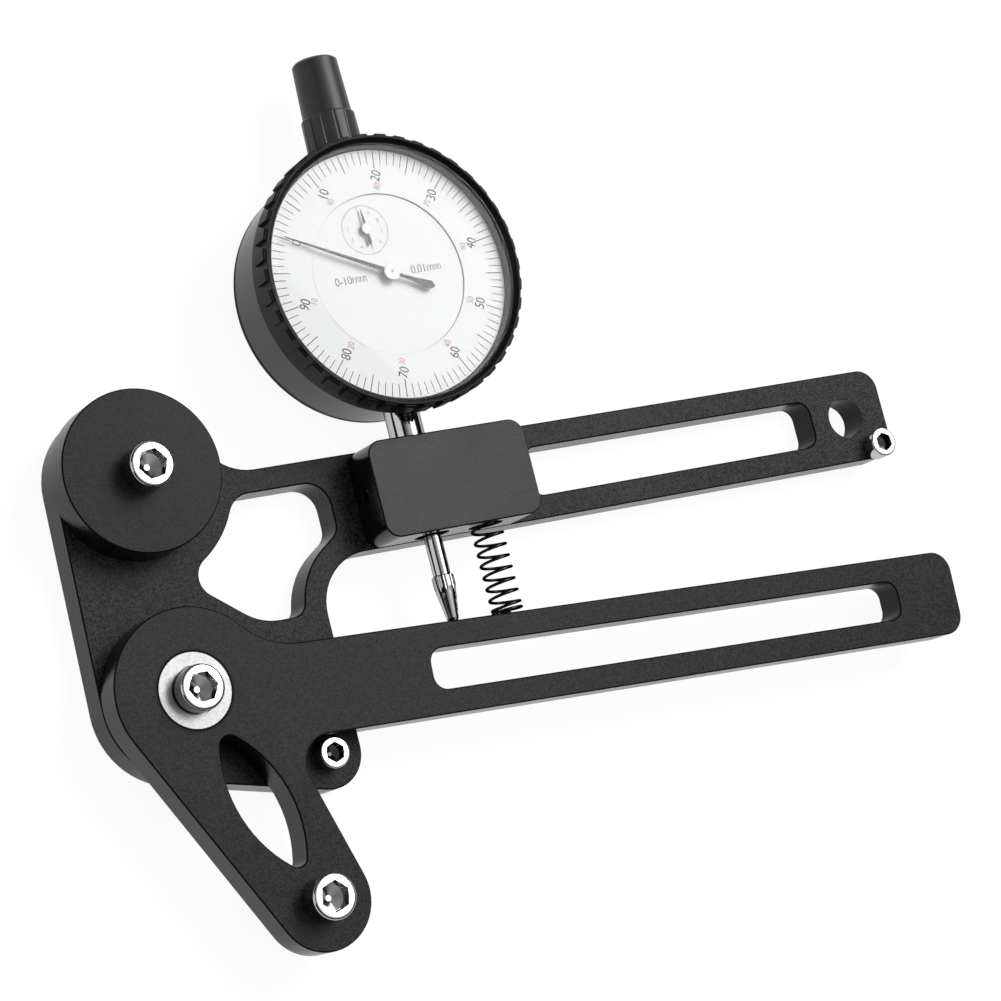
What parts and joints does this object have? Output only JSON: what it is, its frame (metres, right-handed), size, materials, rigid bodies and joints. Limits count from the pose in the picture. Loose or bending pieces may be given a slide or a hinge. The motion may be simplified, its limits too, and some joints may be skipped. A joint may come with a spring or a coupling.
{
  "type": "spoke tension meter",
  "caption": "Hand-held spoke tension meter: slotted fixed handle and sprung slotted lever on one pivot, contact screws for the spoke, and a dial indicator on the lever's edge.",
  "frame": {"origin": "on the pivot axis, at the back face of the base plate", "axes": "+Z out of the front, towards the dial; +X along the fixed handle towards its end; +Y from the pivot towards the dial indicator"},
  "size_m": [0.2185, 0.1952, 0.027],
  "materials": {
    "black_plate": "black anodised aluminium, fine satin grain",
    "bright_screw": "bright nickel plated",
    "satin_steel": "satin turned steel",
    "polished_steel": "polished",
    "black_oxide": "black oxide",
    "spring_steel": "dark spring wire",
    "case_black": "semi-gloss black",
    "cap_plastic": "black, slight sheen",
    "dial_white": "white, satin",
    "pointer_black": "dark, satin",
    "brass": "rolled brass",
    "crystal": "clear"
  },
  "bodies": {
    "frame": {"base_plate": "black_plate", "spacer_disc": "black_plate", "upper_contact_screw": "bright_screw", "pivot_screw": "bright_screw", "pivot_bush": "satin_steel", "thrust_washer": "satin_steel", "release_stop_screw": "bright_screw", "squeeze_stop_screw": "bright_screw", "gauge_block": "black_plate", "block_screws": "bright_screw", "stem_clamp_screw": "black_oxide", "gauge_case": "case_black", "gauge_back_cover": "case_black", "back_cover_screws": "bright_screw", "gauge_stem": "polished_steel", "top_guide_bush": "case_black", "dust_cap": "cap_plastic", "cap_collar": "cap_plastic", "dial_face": "dial_white", "guide_rail": "brass", "spring_post": "brass", "movement_rear_plate": "brass", "movement_front_plate": "brass", "movement_pillars": "brass", "pinion_bridge": "brass", "bezel_friction_ring": "spring_steel", "return_spring": "spring_steel", "hairspring": "spring_steel", "spindle_spring": "spring_steel"},
    "lever": {"lever_plate": "black_plate", "lower_contact_screw": "bright_screw", "spring_guide_pin": "satin_steel"},
    "spindle": {"spindle": "polished_steel", "contact_point": "polished_steel", "guide_yoke": "brass"},
    "gear_staff": {"gear_staff": "satin_steel", "drive_wheel": "brass", "revolution_pointer": "pointer_black", "revolution_hub": "polished_steel"},
    "centre_arbor": {"centre_arbor": "satin_steel", "pointer": "pointer_black", "pointer_hub": "polished_steel"},
    "hairspring_wheel": {"hairspring_wheel": "brass"},
    "bezel": {"bezel": "case_black", "crystal": "crystal", "scale_ring": "dial_white"}
  },
  "joints": [
    {"name": "lever_pivot", "type": "hinge", "parent": "frame", "child": "lever", "pos_m": [0, 0, 0.0123], "axis": [0, 0, 1], "range_deg": [0, 7.5], "stiffness_Nm_per_rad": 5.2, "springref_deg": -4.01, "deforming": ["return_spring"]},
    {"name": "spindle_slide", "type": "slide", "parent": "frame", "child": "spindle", "axis": [0, 1, 0], "range_m": [0, 0.01], "deforming": ["spindle_spring"]},
    {"name": "staff_turn", "type": "hinge", "parent": "frame", "child": "gear_staff", "pos_m": [0.06221, 0.09233, 0.0176], "axis": [0, 0, 1], "range_deg": [0, 360]},
    {"name": "pointer_turn", "type": "hinge", "parent": "frame", "child": "centre_arbor", "pos_m": [0.0654, 0.0818, 0.0176], "axis": [0, 0, 1], "range_deg": [-3600, 0]},
    {"name": "hairspring_turn", "type": "hinge", "parent": "frame", "child": "hairspring_wheel", "pos_m": [0.06859, 0.07127, 0.0176], "axis": [0, 0, 1], "range_deg": [0, 360], "deforming": ["hairspring"]},
    {"name": "bezel_turn", "type": "hinge", "parent": "frame", "child": "bezel", "pos_m": [0.0654, 0.0818, 0.0219], "axis": [0, 0, 1], "continuous": true}
  ],
  "couplings": [
    {"joint": "spindle_slide", "follows": "lever_pivot", "m_per_rad": 0.0656},
    {"joint": "staff_turn", "follows": "lever_pivot", "ratio": 41.218},
    {"joint": "pointer_turn", "follows": "lever_pivot", "ratio": -412.18},
    {"joint": "hairspring_turn", "follows": "lever_pivot", "ratio": 41.218}
  ]
}
